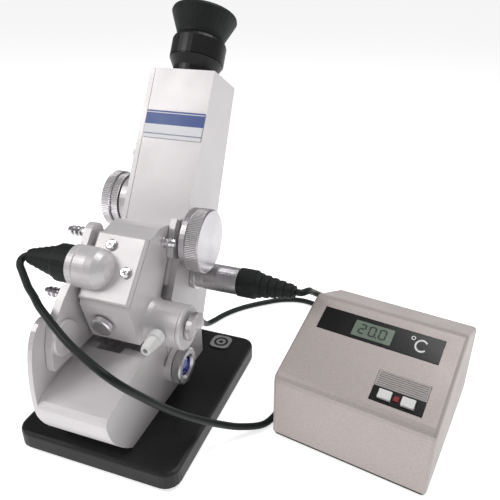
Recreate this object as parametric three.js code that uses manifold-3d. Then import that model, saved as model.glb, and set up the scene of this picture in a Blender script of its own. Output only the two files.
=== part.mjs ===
// Abbe refractometer with its separate digital thermometer, millimetres, +Z up.
// -Y is the instrument's front (label side), +X the side of its measuring knob.
import * as THREE from "three";
import Module from "manifold-3d";
import { mergeVertices } from "three/addons/utils/BufferGeometryUtils.js";

const wasm = await Module();
wasm.setup();

// ---- frame: where each unit's own origin lies in the object's frame ----
const INSTRUMENT_AT = [-71.47, -25.92, 0];
const METER_AT = [14.83, -30.92, 0];
const METER_YAW = -10.3;

// ---- driving dimensions of the instrument ----
const GAP = 0.3;
const BASE = { width: 102.6, depth: 129.4, under: 2.5, top: 13.3, corner: 9 };
const FOOT = { width: 26, depth: 24, inset: 4 };
const STAND = { left: -21, right: 20.7, foot: BASE.top + GAP, shelf: 40, rear: 40 };
const WALL = { outer: -23.8, inner: -20.9, top: 91.8 };
const TUBE = { left: -21.5, right: 21.5, cover: 3.2, wall: 3, hollowFrom: 84 };
const FRONT_TOP = [73.1, 196.4];
const FRONT_LOW = [-8.1, 65];
const BACK_TOP = [105, 180.7];
const BACK_LOW = [41.4, 40.3];
const BOX = { left: -13.5, right: 17 };
const LID = { top: [-11.6, 123.2], length: 38.4, thick: 3 };
const ARM = { outer: -20.6, inner: -16, pin: 3 };
const BOSS = { y: -28, z: 108.7, radius: 11.6, outer: -18.6, inner: -14.1 };
const BARREL = { y: -12.5, z: 71.2, radius: 12.8, end: 38.5, hub: 6 };
const KNOB = { y: 23.5, z: 108.3, radius: 18.9, face: 37.3 };
const DIAL = { y: 43.95, z: 118, radius: 18, face: -38 };
const PROBE = { y: 33.3, z: 78.7, radius: 8.4, end: 52 };
const LENS = { low: -98, radius: 11.5, bore: 10.3, dial: -83.5 };
const SECTOR = { y: 47.3, z: 93.6, radius: 25.1, hub: 4 };
const WINDOW = { y: -3.3, z: 35.4, radius: 11.3, face: 31.5 };
const LABEL = { from: 27, to: 44 };
const EYE = { x: 1, forward: 15.2 };
const LEFT_PLUG = { length: 30, collar: 10.6, tail: 4.6 };
const RIGHT_PLUG = { length: 35, collar: 9, tail: 4.2 };
const SOCKET = { x: 8.5, z: 26, length: 10 };
const CORD = 4.2;

// ---- driving dimensions of the thermometer ----
const METER = { width: 91.7, depth: 100.9, front: 45, ridge: 69, ridgeAt: 58.5, back: 50, wall: 2.2 };
const PLATE = { from: 1.5, to: 3.2 };
const SHELL_FROM = 3.5;
const JACKS = [12, 28, 44];
const JACK_Z = 20;
const JACK_END = METER.depth + 3.1;

// ---- materials ----
function material(color, roughness, metalness) {
  return new THREE.MeshStandardMaterial({ color, roughness, metalness });
}
const silverPaint = () => material(0xc9c4c0, 0.45, 0.3);
const brightMetal = () => material(0xdcd8da, 0.3, 0.8);
const chrome = () => material(0xe4e4e8, 0.12, 1);
const blackPaint = () => material(0x141414, 0.5, 0.1);
const blackRubber = () => material(0x101512, 0.7, 0);
const blackPlastic = () => material(0x161618, 0.4, 0);
const clearGlass = () => material(0xcfe4e6, 0.05, 0);
const blueGlass = () => material(0x2634a0, 0.1, 0);
const blueLabel = () => material(0x24478c, 0.4, 0);
const caseGrey = () => material(0xbdb3ae, 0.55, 0.2);
const greenGlass = () => material(0x6f8f78, 0.3, 0);
const whitePlastic = () => material(0xf2f2f0, 0.4, 0);
const redPlastic = () => material(0x8c1d22, 0.4, 0);
const greenBoard = () => material(0x1e5a34, 0.5, 0);
const brass = () => material(0xb89a55, 0.35, 0.9);

// ---- solids ----
const X = new THREE.Vector3(1, 0, 0);
const Y = new THREE.Vector3(0, 1, 0);
const Z = new THREE.Vector3(0, 0, 1);

function toSolid(geometry) {
  const bare = geometry.clone();
  bare.deleteAttribute("normal");
  bare.deleteAttribute("uv");
  const merged = mergeVertices(bare, 1e-4);
  return new wasm.Manifold(new wasm.Mesh({
    numProp: 3,
    vertProperties: Float32Array.from(merged.attributes.position.array),
    triVerts: Uint32Array.from(merged.index.array),
  }));
}

function toGeometry(solid) {
  const mesh = solid.getMesh();
  const geometry = new THREE.BufferGeometry();
  const places = Float32Array.from(mesh.vertProperties);
  geometry.setAttribute("position", new THREE.BufferAttribute(places, 3));
  geometry.setIndex(new THREE.BufferAttribute(Uint32Array.from(mesh.triVerts), 1));
  return geometry;
}

// first solid with the others of `plus` joined and those of `minus` cut away
function combine(first, plus = [], minus = []) {
  let solid = toSolid(first);
  for (const g of plus) solid = solid.add(toSolid(g));
  for (const g of minus) solid = solid.subtract(toSolid(g));
  return toGeometry(solid);
}

function shapeOf(points) {
  return new THREE.Shape(points.map(([a, b]) => new THREE.Vector2(a, b)));
}

// outline in (y, z), swept from x0 to x1
function sweepX(points, x0, x1) {
  const geometry = new THREE.ExtrudeGeometry(shapeOf(points), { depth: x1 - x0, bevelEnabled: false });
  geometry.applyMatrix4(new THREE.Matrix4().makeBasis(Y, Z, X).setPosition(x0, 0, 0));
  return geometry;
}

// outline in (x, y), swept from z0 to z1
function sweepZ(points, z0, z1) {
  const geometry = new THREE.ExtrudeGeometry(shapeOf(points), { depth: z1 - z0, bevelEnabled: false });
  geometry.translate(0, 0, z0);
  return geometry;
}

function box(x0, x1, y0, y1, z0, z1) {
  const geometry = new THREE.BoxGeometry(x1 - x0, y1 - y0, z1 - z0);
  geometry.translate((x0 + x1) / 2, (y0 + y1) / 2, (z0 + z1) / 2);
  return geometry;
}

// profile of [radius, height] pairs turned about `axis` through `at`
function turned(profile, at, axis, sides = 32) {
  const geometry = new THREE.LatheGeometry(profile.map(([r, h]) => new THREE.Vector2(r, h)), sides);
  const along = new THREE.Vector3(...axis).normalize();
  geometry.applyQuaternion(new THREE.Quaternion().setFromUnitVectors(Y, along));
  geometry.translate(...at);
  return geometry;
}

// solid round bar of chamfer c from `at`, `length` long
function round(radius, length, at, axis, sides = 32, c = 0.4) {
  const profile = [
    [0, 0], [radius - c, 0], [radius, c], [radius, length - c], [radius - c, length], [0, length],
  ];
  return turned(profile, at, axis, sides);
}

// ring with a bore, closed profile
function ring(outer, inner, length, at, axis, sides = 32) {
  return turned([[inner, 0], [outer, 0], [outer, length], [inner, length], [inner, 0]], at, axis, sides);
}

function arc(cx, cy, r, from, to, steps) {
  const points = [];
  for (let i = 0; i <= steps; i++) {
    const a = THREE.MathUtils.degToRad(from + ((to - from) * i) / steps);
    points.push([cx + r * Math.cos(a), cy + r * Math.sin(a)]);
  }
  return points;
}

function roundedRectangle(x0, x1, y0, y1, r, steps = 5) {
  return [
    ...arc(x1 - r, y0 + r, r, -90, 0, steps),
    ...arc(x1 - r, y1 - r, r, 0, 90, steps),
    ...arc(x0 + r, y1 - r, r, 90, 180, steps),
    ...arc(x0 + r, y0 + r, r, 180, 270, steps),
  ];
}

// rounds every corner of an outline by r, along a short arc
function soften(points, r, steps = 3) {
  const out = [];
  points.forEach((p, i) => {
    const a = new THREE.Vector2(...points[(i + points.length - 1) % points.length]);
    const b = new THREE.Vector2(...p);
    const c = new THREE.Vector2(...points[(i + 1) % points.length]);
    const reach = Math.min(r, a.distanceTo(b) / 2.2, c.distanceTo(b) / 2.2);
    const start = b.clone().add(a.clone().sub(b).setLength(reach));
    const end = b.clone().add(c.clone().sub(b).setLength(reach));
    const curve = new THREE.QuadraticBezierCurve(start, b, end);
    for (const q of curve.getPoints(steps)) out.push([q.x, q.y]);
  });
  return out;
}

const group = new THREE.Group();
const instrument = new THREE.Group();
const meter = new THREE.Group();
instrument.position.set(...INSTRUMENT_AT);
meter.position.set(...METER_AT);
meter.rotation.z = THREE.MathUtils.degToRad(METER_YAW);
group.add(instrument, meter);

function add(parent, name, geometry, mat) {
  const mesh = new THREE.Mesh(geometry, mat);
  mesh.name = name;
  parent.add(mesh);
  return mesh;
}

// ---- directions on the tube and on the lid ----
const frontLean = new THREE.Vector2(...FRONT_TOP).sub(new THREE.Vector2(...FRONT_LOW)).normalize();
const UP = [0, 47.7, 79.9];
const up = new THREE.Vector3(...UP).normalize();
const rear = new THREE.Vector3(0, BACK_TOP[0] - FRONT_TOP[0], BACK_TOP[1] - FRONT_TOP[1]).normalize();
const lidDown = new THREE.Vector2(-26.5, -27.9).normalize();
const lidOut = new THREE.Vector2(lidDown.y, -lidDown.x);

// point of the side view at u down the lid and w out of it
function onLid(u, w) {
  const p = new THREE.Vector2(...LID.top).addScaledVector(lidDown, u).addScaledVector(lidOut, w);
  return [p.x, p.y];
}

// y at height z of the straight side from `low` to `top`
function sideAt(z, low, top) {
  return top[0] + ((z - top[1]) * (low[0] - top[0])) / (low[1] - top[1]);
}

// point of the eyepiece axis, s above the tube's top face
function onAxis(s) {
  const p = new THREE.Vector3(EYE.x, ...FRONT_TOP).addScaledVector(rear, EYE.forward).addScaledVector(up, s);
  return [p.x, p.y, p.z];
}

// moves every side of a convex outline inwards by d
function inset(points, d) {
  const n = points.length;
  const turn = Math.sign(THREE.ShapeUtils.area(points.map((p) => new THREE.Vector2(...p))));
  const sides = points.map((p, i) => {
    const q = points[(i + 1) % n];
    const along = new THREE.Vector2(q[0] - p[0], q[1] - p[1]).normalize();
    const normal = new THREE.Vector2(-along.y * turn, along.x * turn);
    return { at: new THREE.Vector2(...p).addScaledVector(normal, d), along };
  });
  return sides.map((side, i) => {
    const last = sides[(i + n - 1) % n];
    const between = side.at.clone().sub(last.at);
    const t = between.cross(side.along) / last.along.cross(side.along);
    return [last.at.x + last.along.x * t, last.at.y + last.along.y * t];
  });
}

// solid swept up in z with both its top edges bevelled
function bevelled(points, z0, z1, bevel) {
  const geometry = new THREE.ExtrudeGeometry(shapeOf(points), {
    depth: z1 - z0 - bevel, bevelThickness: bevel, bevelSize: bevel, bevelOffset: -bevel, bevelSegments: 2,
  });
  geometry.translate(0, 0, z0);
  return combine(geometry, [], [box(-500, 500, -500, 500, z0 - 50, z0)]);
}

// box lying on a plane of the side view: x, then along it, then out of it
function slab(x0, x1, u0, u1, w0, w1, at, along, out) {
  const geometry = box(x0, x1, u0, u1, w0, w1);
  const frame = new THREE.Matrix4().makeBasis(X, new THREE.Vector3(0, ...along), new THREE.Vector3(0, ...out));
  geometry.applyMatrix4(frame.setPosition(0, at[0], at[1]));
  if (frame.determinant() < 0) geometry.index.array.reverse();
  return geometry;
}

function curve(from, control, to, steps) {
  const bend = new THREE.QuadraticBezierCurve(...[from, control, to].map((p) => new THREE.Vector2(...p)));
  return bend.getPoints(steps).map((p) => [p.x, p.y]);
}

// ---- base, its feet and its badge ----
function makeBase() {
  const w = BASE.width / 2;
  const d = BASE.depth / 2;
  const plate = bevelled(roundedRectangle(-w, w, -d, d, BASE.corner), BASE.under, BASE.top, 1.8);
  const pads = [];
  for (const sx of [-1, 1]) {
    for (const sy of [-1, 1]) {
      const x = sx * (w - FOOT.inset - FOOT.width / 2);
      const y = sy * (d - FOOT.inset - FOOT.depth / 2);
      const across = [x - FOOT.width / 2, x + FOOT.width / 2];
      const pad = roundedRectangle(...across, y - FOOT.depth / 2, y + FOOT.depth / 2, 6, 3);
      pads.push(sweepZ(pad, 0, BASE.under + 1));
    }
  }
  add(instrument, "base_plate", combine(plate, pads, []), blackPaint());
  const badge = roundedRectangle(22.5, 36.5, 45.5, 59.5, 4, 3);
  add(instrument, "base_badge", sweepZ(badge, BASE.top + GAP, BASE.top + 1.3), brightMetal());
}

// ---- scoop-shaped stand: nose, floor, shelf and left wall, open below ----
function makeStand() {
  const nose = curve([-53.5, STAND.foot], [-70.9, 28.4], [-72.8, 43.5], 7);
  const lip = curve([-73.1, 46], [-73, 50], [-68, 50.8], 3);
  const floor = [[-53.3, 54.8], [-33.4, 60], [-8.4, 59.5], [-8.4, STAND.shelf]];
  const back = [[STAND.rear, STAND.shelf], [STAND.rear, STAND.foot]];
  const edge = new THREE.CubicBezierCurve(
    ...[[-72.8, 43.5], [-73.6, 62], [-70, 91.2], [-57, WALL.top]].map((p) => new THREE.Vector2(...p)),
  );
  const wallEdge = edge.getPoints(10).map((p) => [p.x, p.y]);
  const wall = [...nose.slice(0, -1), ...wallEdge, [-52, 91], [-8.4, 60], [-8.4, STAND.shelf], ...back];
  const under = [
    [-47, 10], [-60, 30], [-65, 42], [-61, 46.5], [-45, 49], [-37, 46], [-12, 46], [-12, 36.5], [36, 36.5], [36, 10],
  ];
  const axis = (x) => [x, BARREL.y, BARREL.z];
  const besideTube = box(18, TUBE.right + GAP, -30, 20, STAND.shelf, 60);
  const bossBar = round(11, 6.2, [19, WINDOW.y, WINDOW.z], [1, 0, 0], 32, 0.4);
  const windowBoss = combine(bossBar, [], [besideTube]);
  const geometry = combine(
    sweepX([...nose, ...lip, ...floor, ...back], STAND.left, STAND.right),
    [sweepX(wall, WALL.outer, WALL.inner), windowBoss],
    [
      sweepX(under, STAND.left + 1, STAND.right - 3.5),
      round(19.4, 31.6, axis(-14.3), [1, 0, 0], 36, 0.1),
      round(24, 15.4, axis(-9.7), [1, 0, 0], 36, 0.1),
      round(BARREL.radius + 2.1, 20, axis(15), [1, 0, 0], 36, 0.1),
      round(6.2, 14, [14, WINDOW.y, WINDOW.z], [1, 0, 0], 24, 0.1),
      round(3.1, 8, [SOCKET.x, STAND.rear - 6, SOCKET.z], [0, 1, 0], 16, 0.1),
    ],
  );
  add(instrument, "stand_casting", geometry, silverPaint());
}

// ---- tube housing, its left cover and label ----
const housing = [[-8.1, 40.3], FRONT_LOW, FRONT_TOP, BACK_TOP, BACK_LOW];

function makeHousing() {
  const bottom = TUBE.hollowFrom;
  const front = [sideAt(bottom, FRONT_LOW, FRONT_TOP), bottom];
  const back = [sideAt(bottom, BACK_LOW, BACK_TOP), bottom];
  const inner = [front, FRONT_TOP, BACK_TOP, back];
  const hollow = inset(inner, TUBE.wall);
  const seam = TUBE.left + TUBE.cover;
  const knobAt = (x) => [x, KNOB.y, KNOB.z];
  const besideEar = box(18, 26, 0, 17.8, 101, 130);
  const boss = combine(round(15.5, 3.4, knobAt(TUBE.right - 0.1), [1, 0, 0], 40), [], [besideEar]);
  const pin = round(1.5, 6, [13, SECTOR.y, SECTOR.z], [1, 0, 0], 16, 0.2);
  const hollowed = combine(sweepX(housing, seam + GAP, TUBE.right), [boss], [
    sweepX(hollow, seam - 5, TUBE.right - TUBE.wall),
    round(BARREL.radius + 2.1, 30, [15.2, BARREL.y, BARREL.z], [1, 0, 0], 38, 0.1),
    round(10.6, 12, onAxis(-8), up.toArray(), 32, 0.1),
    round(2.3, 20, knobAt(16), [1, 0, 0], 20, 0.1),
    round(3.4, 6.3, knobAt(12.3), [1, 0, 0], 22, 0.1),
    round(2.6, 40, [4, PROBE.y, PROBE.z], [1, 0, 0], 20, 0.1),
  ]);
  add(instrument, "tube_housing", combine(hollowed, [pin], []), silverPaint());
  const dialBoss = round(16, 5.6, [-26.4, DIAL.y, DIAL.z], [1, 0, 0], 40, 0.3);
  const cover = combine(sweepX(housing, TUBE.left, seam), [dialBoss], [
    round(2.3, 20, [-30, DIAL.y, DIAL.z], [1, 0, 0], 20, 0.1),
  ]);
  add(instrument, "tube_left_cover", cover, silverPaint());
}

// label plate lying on the tube's front face
function makeLabel() {
  const down = new THREE.Vector2(FRONT_LOW[0] - FRONT_TOP[0], FRONT_LOW[1] - FRONT_TOP[1]).normalize();
  const out = [down.y, -down.x];
  const plate = slab(-17.7, 21, LABEL.from, LABEL.to, GAP, GAP + 0.5, FRONT_TOP, down.toArray(), out);
  add(instrument, "label_plate", plate, blueLabel());
}

// ---- eyepiece ----
function makeEyepiece() {
  const axis = up.toArray();
  const bore = 10.4;
  const mount = [[bore, -3], [13.9, -3], [13.9, 3.2], [17.1, 8.8], [17.1, 9.1], [bore, 9.1], [bore, -3]];
  const tube = slab(-60, 60, -30, 80, -40, GAP, FRONT_TOP, [rear.y, rear.z], [-rear.z, rear.y]);
  add(instrument, "eyepiece_mount", combine(turned(mount, onAxis(0), axis, 36), [], [tube]), blackPlastic());
  const focus = [[bore, 9.4], [17.3, 9.4], [17.3, 20.8], [16.6, 22.4], [15.4, 23.6], [bore, 23.6], [bore, 9.4]];
  add(instrument, "focus_ring", turned(focus, onAxis(0), axis, 36), blackPlastic());
  const cup = [
    [bore, 24], [15.2, 24], [15.6, 26], [20.2, 36.6], [21, 38.6], [20.6, 40], [19.2, 40.2],
    [12.6, 28.4], [bore, 28], [bore, 24],
  ];
  add(instrument, "eyecup", turned(cup, onAxis(0), axis, 36), blackRubber());
  add(instrument, "eye_lens", round(10, 4, onAxis(18.5), axis, 24, 0.8), clearGlass());
}

// ---- inside the tube: lens barrel, objective, compensator prisms, crosshair glass ----
function makeOptics() {
  const axis = up.toArray();
  const top = -TUBE.wall - 1.4 - LENS.low;
  const slot = round(4.1, 8, [-16, DIAL.y, DIAL.z], [1, 0, 0], 20, 0.1);
  const barrel = ring(LENS.radius, LENS.bore, top, onAxis(LENS.low), axis, 32);
  add(instrument, "lens_barrel", combine(barrel, [], [slot]), blackPaint());
  add(instrument, "objective_lens", round(10, 4, onAxis(LENS.low + 0.5), axis, 24, 0.8), clearGlass());
  add(instrument, "lower_amici_prism", round(10, 7, onAxis(LENS.dial - 7.2), axis, 24, 0.6), clearGlass());
  add(instrument, "upper_amici_prism", round(10, 7, onAxis(LENS.dial + 0.2), axis, 24, 0.6), clearGlass());
  add(instrument, "crosshair_glass", round(10, 1.5, onAxis(-20), axis, 24, 0.3), clearGlass());
}

// ---- measuring knob with its shaft, toothed sector and glass scale ----
function makeMeasuring() {
  const at = (x) => [x, KNOB.y, KNOB.z];
  const r = KNOB.radius;
  const grip = [
    [0, 25.1], [r - 0.8, 25.1], [r - 0.2, 25.6], [r - 0.2, 28.8], [r - 0.6, 29.1], [r, 29.6],
    [r, KNOB.face - 0.7], [r - 0.8, KNOB.face], [0, KNOB.face],
  ];
  const blind = round(2.3, 8, at(22), [1, 0, 0], 20, 0.1);
  add(instrument, "measurement_knob", combine(turned(grip, at(0), [1, 0, 0], 44), [], [blind]), brightMetal());
  const shaft = [[0, 12.8], [2.6, 12.8], [2.6, 17.4], [2, 17.9], [2, 29.6], [0, 29.6]];
  add(instrument, "measurement_shaft", turned(shaft, at(0), [1, 0, 0], 20), chrome());
  const toKnob = THREE.MathUtils.radToDeg(Math.atan2(KNOB.z - SECTOR.z, KNOB.y - SECTOR.y));
  const fan = [
    ...arc(SECTOR.y, SECTOR.z, SECTOR.radius, toKnob - 15, toKnob + 15, 8),
    ...arc(SECTOR.y, SECTOR.z, SECTOR.hub, toKnob + 70, toKnob + 290, 10),
  ];
  const bore = round(1.8, 6, [12, SECTOR.y, SECTOR.z], [1, 0, 0], 16, 0.1);
  add(instrument, "scale_sector", combine(sweepX(fan, 13.3, 14.7), [], [bore]), brass());
  const strip = [
    ...arc(SECTOR.y, SECTOR.z, 20, toKnob - 13, toKnob + 13, 6),
    ...arc(SECTOR.y, SECTOR.z, 14, toKnob + 13, toKnob - 13, 6),
  ];
  add(instrument, "glass_scale", sweepX(strip, 15, 16), clearGlass());
}

// ---- compensator knob, dial ring and shaft; adjusting cap above them ----
function makeCompensator() {
  const at = (x) => [x, DIAL.y, DIAL.z];
  const left = [1, 0, 0];
  add(instrument, "compensator_dial", ring(17, 2.3, 4.6, at(-31.4), left, 40), brightMetal());
  const r = DIAL.radius;
  const grip = [[0, 0], [r - 0.8, 0], [r, 0.7], [r, 5.6], [r - 0.8, 6.3], [0, 6.3]];
  const blind = round(2.3, 6, at(DIAL.face + 2.7), left, 20, 0.1);
  add(instrument, "compensator_knob", combine(turned(grip, at(DIAL.face), left, 44), [], [blind]), brightMetal());
  const shaft = [[0, 0], [2, 0], [2, 21.2], [3.7, 21.7], [3.7, 25.3], [0, 25.3]];
  add(instrument, "compensator_shaft", turned(shaft, at(-34.7), left, 20), chrome());
  const cap = [[0, 0], [8.6, 0], [9.5, 0.8], [9.5, 3.2], [0, 3.2]];
  add(instrument, "adjusting_cap", turned(cap, [-25, 57, 146], left, 36), brightMetal());
}

// ---- fixed prism mount on the tube's front face, with its ear, prism and chrome nipple ----
const mountUp = frontLean.toArray();
const mountOut = [-frontLean.y, frontLean.x];

function onFront(s, w) {
  return [FRONT_LOW[0] + mountUp[0] * s + mountOut[0] * w, FRONT_LOW[1] + mountUp[1] * s + mountOut[1] * w];
}

function makePrismMount() {
  const outline = [onFront(24, GAP), onFront(58.5, GAP), onFront(58.5, 5.6), onFront(24, 4.2)];
  const ear = [onFront(40, GAP), onFront(62, GAP), onFront(62, 11.5), onFront(56, 12.5), onFront(40, 8)];
  const pocket = [onFront(29, 1.6), onFront(53, 1.6), onFront(53, 9), onFront(29, 9)];
  const prism = [onFront(29.3, 1.9), onFront(52.7, 1.9), onFront(52.7, 5.2), onFront(29.3, 4.3)];
  const earPlate = sweepX(ear, 17.4, TUBE.right - 0.4);
  const plate = combine(sweepX(outline, -13, 17.5), [earPlate], [sweepX(pocket, -8.3, 12.3)]);
  add(instrument, "prism_mount", plate, silverPaint());
  add(instrument, "main_prism", sweepX(prism, -8, 12), clearGlass());
  const stem = [
    [0, 0], [3.4, 0], [3.4, 1.2], [2.4, 1.6], [2.4, 3.6], [2.9, 4], [2.4, 5.6], [2.7, 6], [2.1, 7.3], [0, 7.3],
  ];
  const stemAt = [BOX.right + GAP, 4.6, 113.6];
  add(instrument, "upper_right_nipple", turned(stem, stemAt, [1, 0, 0], 20), chrome());
}

// ---- swinging prism box: casting with its barrel, cover plate, glass and fittings ----
function boxOutline() {
  const low = [BARREL.y - 17.5, BARREL.z - 5.2];
  return [
    [16.1, 117.9], [12.5, 120.4], [7, 122.3], [1.7, 122.9], onLid(0.6, -LID.thick - GAP),
    onLid(LID.length, -LID.thick - GAP), [-36.7, 90.4], low,
    ...arc(BARREL.y, BARREL.z, BARREL.hub, 270, 390, 8), [-3.7, 82.3],
  ];
}

const LOWER_FACE = { at: [-34.2, 78.5], out: [-0.964, -0.266] };

function makePrismBox() {
  const axis = (x) => [x, BARREL.y, BARREL.z];
  const backUp = new THREE.Vector2(19.8, 35.6).normalize().toArray();
  const backOut = [backUp[1], -backUp[0]];
  const pocket = slab(-8.3, 12.3, 6, 34, -4.3, 4, [-3.7, 82.3], backUp, backOut);
  const glass = slab(-8, 12, 6.3, 33.7, -4, -0.1, [-3.7, 82.3], backUp, backOut);
  const r = BARREL.radius;
  const e = BARREL.end;
  const barrel = [
    [0, 16.5], [r + 1.3, 16.5], [r + 0.5, 17.8], [r, 19.4], [r, e - 2.6], [r - 0.5, e - 2.3], [r + 0.1, e - 2],
    [r + 0.1, e - 0.6], [r - 0.6, e], [0, e],
  ];
  const inward = LOWER_FACE.out.map((v) => -v);
  const boreAt = [-2, ...LOWER_FACE.at.map((v, i) => v + LOWER_FACE.out[i] * 3)];
  const body = sweepX(boxOutline(), BOX.left, BOX.right);
  const casting = combine(body, [turned(barrel, axis(0), [1, 0, 0], 44)], [
    pocket,
    round(4.6, 30, boreAt, [0, ...inward], 24, 0.1),
    round(ARM.pin + GAP, 50, axis(-15), [1, 0, 0], 24, 0.1),
  ]);
  add(instrument, "prism_box", casting, silverPaint());
  add(instrument, "secondary_prism", glass, clearGlass());
  makeCover();
  const cap = [[0, 0], [6.2, 0], [6.2, 2.6], [5.4, 3.2], [0, 3.2]];
  const capAt = [-2, ...LOWER_FACE.at.map((v, i) => v + LOWER_FACE.out[i] * GAP)];
  add(instrument, "aperture_cap", turned(cap, capAt, [0, ...LOWER_FACE.out], 32), chrome());
  const half = arc(BARREL.y, BARREL.z, 9.6, -20, 160, 14);
  const neck = round(7, 2, axis(e + GAP), [1, 0, 0], 32, 0.3);
  add(instrument, "lock_handle", combine(sweepX(half, e + 1.8, e + 5), [neck], []), brightMetal());
  const hose = [
    [1.6, 0], [4.4, 0], [4.4, 4.6], [3.4, 5.2], [3.4, 7.4], [3.9, 8], [3, 11], [3.5, 11.4], [2.7, 14.2],
    [1.6, 14.2], [1.6, 0],
  ];
  add(instrument, "front_nipple", turned(hose, [26.4, BARREL.y - 13.4, 72.2], [0, -1, -0.05], 20), whitePlastic());
  add(instrument, "hinge_pin", round(ARM.pin, 53, axis(ARM.outer + 1), [1, 0, 0], 24, 0.3), chrome());
}

// bevelled cover plate, with the rounded swelling round the lamp port, and its two screws
function makeCover() {
  const left = BOX.left + 0.2;
  const right = BOX.right - 0.2;
  const outline = [[left, 0.4], [right, 0.4], [right, LID.length - 0.2], [left, LID.length - 0.2]];
  const flat = new THREE.ExtrudeGeometry(shapeOf(outline), {
    depth: LID.thick - 1, bevelThickness: 1, bevelSize: 1, bevelOffset: -1, bevelSegments: 2,
  });
  const lid = combine(flat, [], [box(-60, 60, -60, 60, -9, 0)]);
  const down = new THREE.Vector3(0, ...lidDown.toArray());
  const frame = new THREE.Matrix4().makeBasis(X.clone().negate(), down, new THREE.Vector3(0, ...lidOut.toArray()));
  lid.applyMatrix4(new THREE.Matrix4().makeScale(-1, 1, 1));
  lid.index.array.reverse();
  lid.applyMatrix4(frame.setPosition(0, ...onLid(0, -LID.thick)));
  const r = BOSS.radius;
  const from = BOSS.inner + GAP;
  const swell = [[0, from], [r, from], [r, -7], [r - 0.6, -3], [r - 2.4, 0], [r - 5.4, 2.6], [r - 9, 4], [0, 4.3]];
  const behind = slab(-60, 60, -60, 60, -60, 0.1 - LID.thick, LID.top, lidDown.toArray(), lidOut.toArray());
  const bulge = combine(turned(swell, [0, BOSS.y, BOSS.z], [1, 0, 0], 48), [], [behind]);
  add(instrument, "prism_cover", combine(lid, [bulge], []), silverPaint());
  const head = [[0, 0], [3.1, 0], [3.1, 1], [2.2, 1.8], [0, 2]];
  const places = [[-2.7, 7.2], [10.5, 20.8]];
  places.forEach(([x, u], i) => {
    const at = [x, ...onLid(u, GAP)];
    add(instrument, `cover_screw_${i + 1}`, turned(head, at, [0, ...lidOut.toArray()], 24), chrome());
  });
}

// ---- fixed lamp arm on the left: plate, port, disc and its two ribbed nipples ----
function makeArm() {
  const outline = [
    [-41, 101], [-46, 97], [-53.5, 89.5], [-57, 84.5], [-60, 76], [-61.6, 66], [-61, 62.5],
    [-9.2, 62.5], [-8.9, 66], [-1.6, 79], [5, 92], [3, 106], [-3.6, 119.5],
    ...arc(-10, 119.5, 6.4, 0, 130, 6), [-24, 114],
  ];
  const pinHole = round(ARM.pin + GAP, 20, [ARM.outer + 0.7, BARREL.y, BARREL.z], [1, 0, 0], 24, 0.1);
  const port = round(BOSS.radius, BOSS.inner - BOSS.outer, [BOSS.outer, BOSS.y, BOSS.z], [1, 0, 0], 48, 0.5);
  const disc = round(10, 3, [ARM.inner - 1, -50, 77], [1, 0, 0], 40, 0.6);
  const seat = round(BOSS.radius + 0.9, 5, [BOSS.outer - 5, BOSS.y, BOSS.z], [1, 0, 0], 48, 0.01);
  const arm = combine(sweepX(outline, ARM.outer, ARM.inner), [port, disc], [pinHole, seat]);
  add(instrument, "lamp_arm", arm, silverPaint());
  add(instrument, "arm_screw", round(2, 1, [ARM.inner + 2.3, -52, 74.5], [1, 0, 0], 16, 0.3), chrome());
  const ribbed = [
    [0, 0], [3.3, 0], [3.3, 2.4], [2.1, 3.2], [2.1, 4.4], [3, 4.8], [2.1, 7.2], [3, 7.6], [2.1, 10], [2.8, 10.4],
    [1.9, 13.2], [0, 13.2],
  ];
  add(instrument, "upper_left_nipple", turned(ribbed, [ARM.outer - GAP, -10, 119.5], [-1, 0, 0], 16), chrome());
  add(instrument, "lower_left_nipple", turned(ribbed, [ARM.outer - GAP, -36.5, 94.5], [-1, 0, 0], 16), chrome());
}

// moulded plug with grip ribs that tapers to the cord, from its mating face outwards
function plugProfile({ collar, tail, length }) {
  const grip = length * 0.3;
  const profile = [[0, 0], [collar, 0], [collar, grip], [collar - 0.8, grip + 1]];
  const ribs = 5;
  const step = (length - grip - 1) / ribs;
  for (let i = 0; i < ribs; i++) {
    const at = grip + 1 + i * step;
    const r = collar - 0.8 + ((tail - collar + 0.8) * (i + 1)) / ribs;
    profile.push([r + 0.5, at + step * 0.1], [r + 0.3, at + step * 0.55]);
    profile.push([r - 0.5, at + step * 0.65], [r - 0.5, at + step * 0.98]);
  }
  profile.push([tail - 0.4, length], [0, length]);
  return profile;
}

function makePlugs() {
  const leftAt = fromInstrument(BOSS.outer - GAP, BOSS.y, BOSS.z);
  add(group, "left_plug", turned(plugProfile(LEFT_PLUG), leftAt, [-1, 0, 0], 20), blackRubber());
  const tube = [
    [0, 21.8], [9.4, 21.8], [9.4, 24.4], [8, 24.8], [8, 29.4], [PROBE.radius, 30], [PROBE.radius, PROBE.end - 0.4],
    [PROBE.radius - 0.4, PROBE.end], [0, PROBE.end],
  ];
  add(instrument, "probe_tube", turned(tube, [0, PROBE.y, PROBE.z], [1, 0, 0], 36), brightMetal());
  const rightAt = fromInstrument(PROBE.end + GAP, PROBE.y, PROBE.z);
  add(group, "right_plug", turned(plugProfile(RIGHT_PLUG), rightAt, [1, 0, 0], 20), blackRubber());
}

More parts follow.
